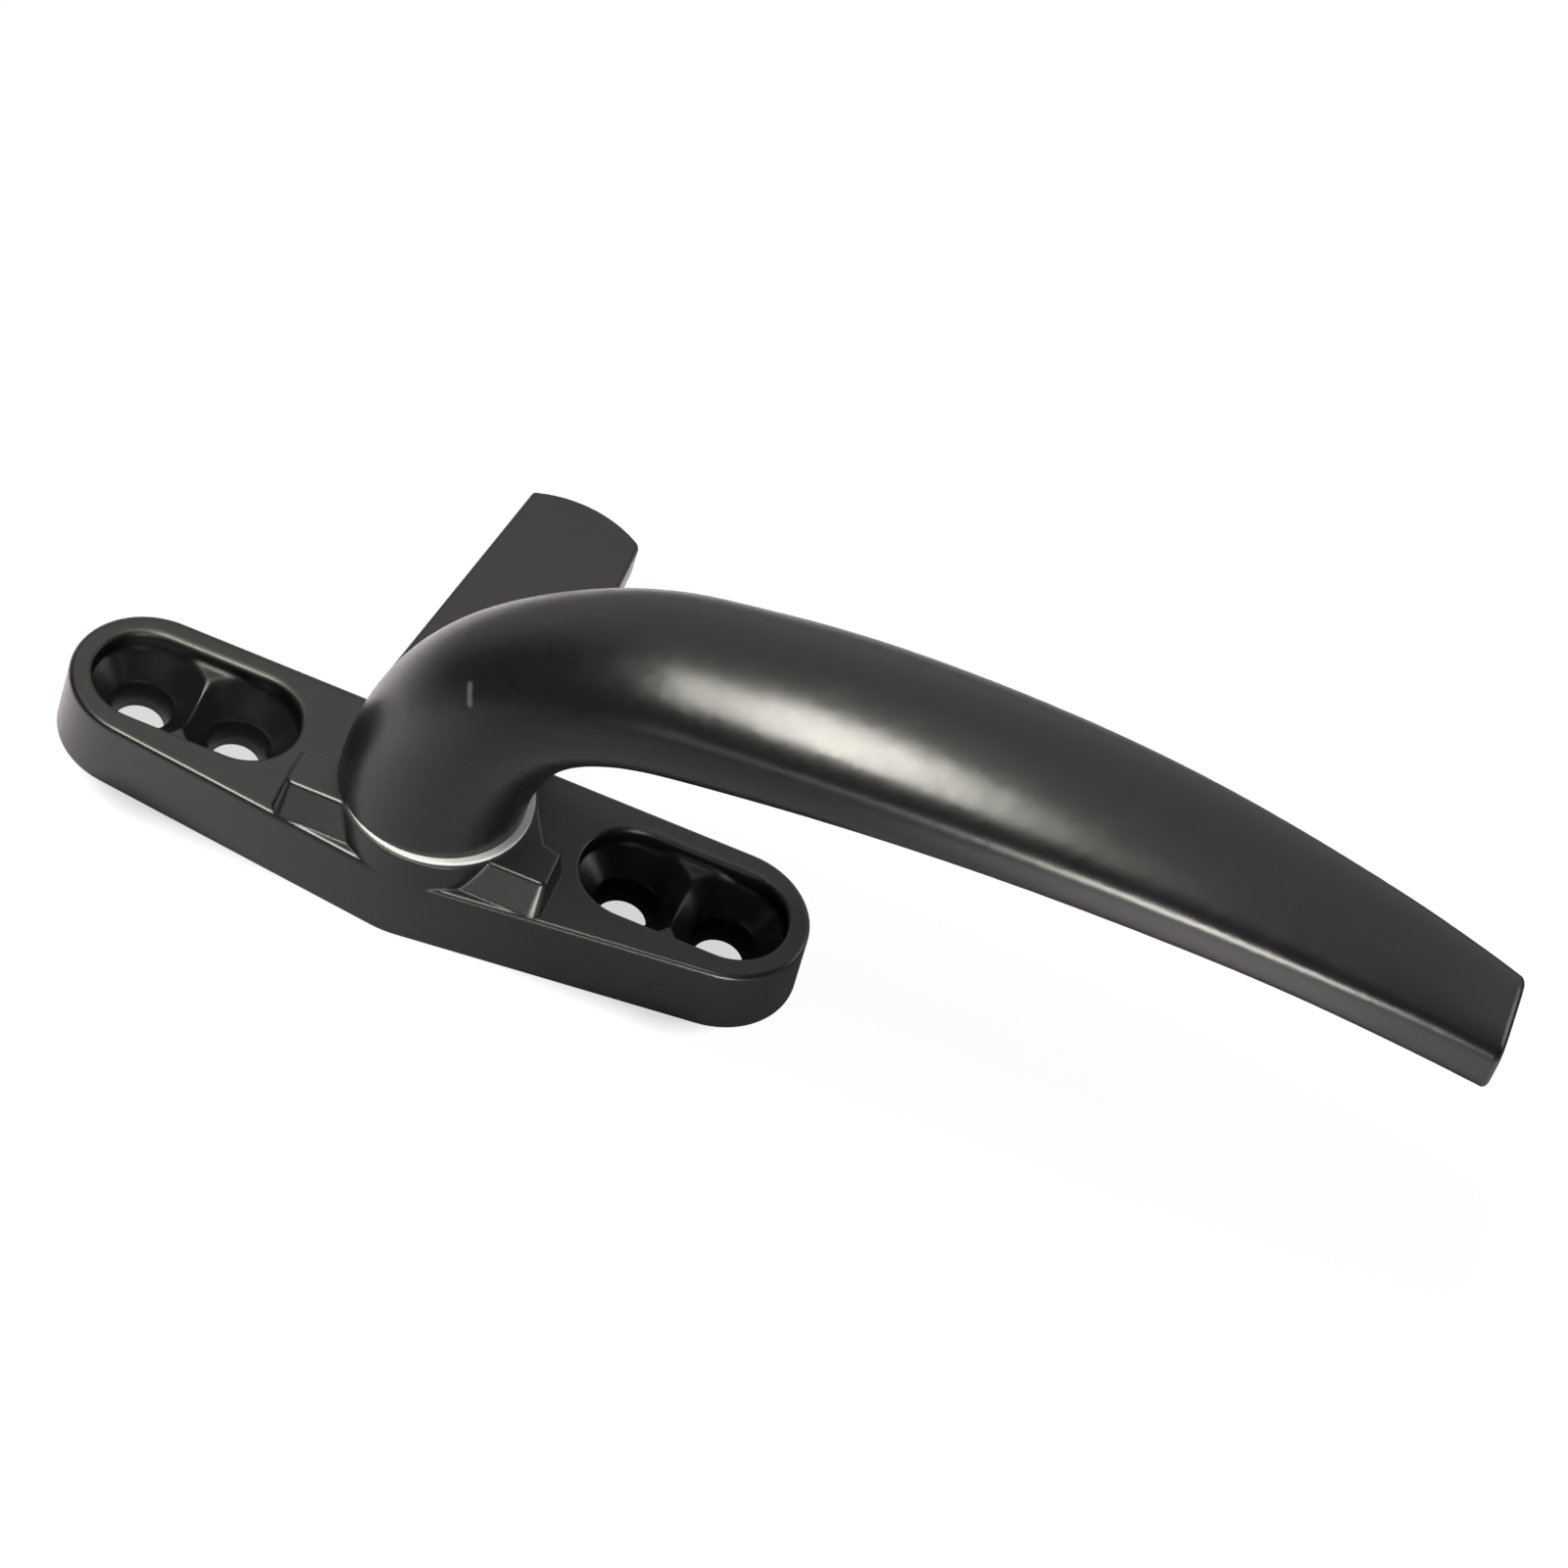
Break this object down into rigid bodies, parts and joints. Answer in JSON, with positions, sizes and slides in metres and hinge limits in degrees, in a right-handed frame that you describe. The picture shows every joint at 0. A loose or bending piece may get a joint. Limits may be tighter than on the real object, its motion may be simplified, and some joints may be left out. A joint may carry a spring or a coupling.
{
  "type": "window handle",
  "caption": "Window handle with a curved tapering lever and a flat locking tongue that turn together on a slim screw-on base plate with countersunk pockets.",
  "frame": {"origin": "midway between the screw holes, in the flat mounting face of the base plate", "axes": "+Z along the pivot axis, away from the window; +X along the base plate and along the closed lever; +Y the way the tongue points when closed"},
  "size_m": [0.1376, 0.0473, 0.0459],
  "materials": {
    "painted_casting": "satin black powder coat on a zinc die casting",
    "bush_plastic": "pale grey nylon",
    "plain_steel": "zinc-plated steel"
  },
  "bodies": {
    "base": {"base_plate": "painted_casting", "pivot_bush": "bush_plastic"},
    "handle": {"lever_handle": "painted_casting", "spring_washer": "plain_steel", "retaining_washer": "plain_steel", "retaining_screw": "plain_steel"}
  },
  "joints": [
    {"name": "handle_turn", "type": "hinge", "parent": "base", "child": "handle", "pos_m": [0, -0.0021, 0], "axis": [0, 0, 1], "range_deg": [-90, 0]}
  ]
}
